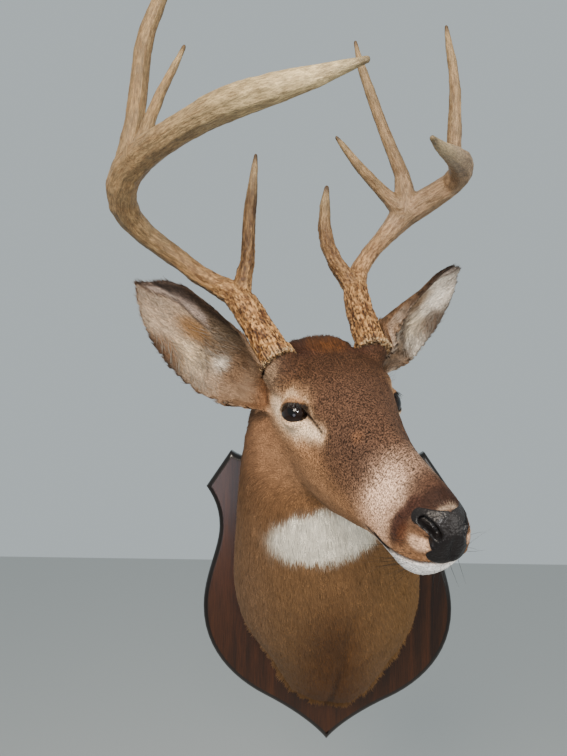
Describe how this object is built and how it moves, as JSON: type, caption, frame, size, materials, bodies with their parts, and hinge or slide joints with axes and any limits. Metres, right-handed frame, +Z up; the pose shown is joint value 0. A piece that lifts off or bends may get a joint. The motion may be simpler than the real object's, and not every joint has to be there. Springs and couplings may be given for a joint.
{
  "type": "deer shoulder mount",
  "caption": "White-tailed buck shoulder mount on a wooden shield board, head turned aside, antlers raised, flat back face for hanging on a wall.",
  "frame": {"origin": "middle of the board's flat back face, on the wall", "axes": "+Z up, +Y into the wall, +X to the viewer's right (the deer's left)"},
  "size_m": [0.4333, 0.6285, 0.9769],
  "materials": {
    "hide": "short brown winter coat over tanned hide",
    "ear_hide": "thin haired ear",
    "nose_pad": "wet-look pebbled black",
    "eye_glass": "polished dark glass",
    "antler": "polished and grooved bone",
    "walnut_board": "dark stain, satin lacquer"
  },
  "bodies": {
    "root": {"plaque_board": "walnut_board", "shoulder": "hide", "neck": "hide", "head": "hide", "ear_right": "ear_hide", "ear_left": "ear_hide", "nose": "nose_pad", "eye_right": "eye_glass", "eye_left": "eye_glass", "antler_right_base": "antler", "antler_right_brow_tine": "antler", "antler_right_beam": "antler", "antler_right_second_tine": "antler", "antler_right_third_tine": "antler", "antler_right_beam_tip": "antler", "antler_left_base": "antler", "antler_left_brow_tine": "antler", "antler_left_beam": "antler", "antler_left_kicker": "antler", "antler_left_second_tine": "antler", "antler_left_third_tine": "antler", "antler_left_beam_tip": "antler"}
  },
  "joints": []
}
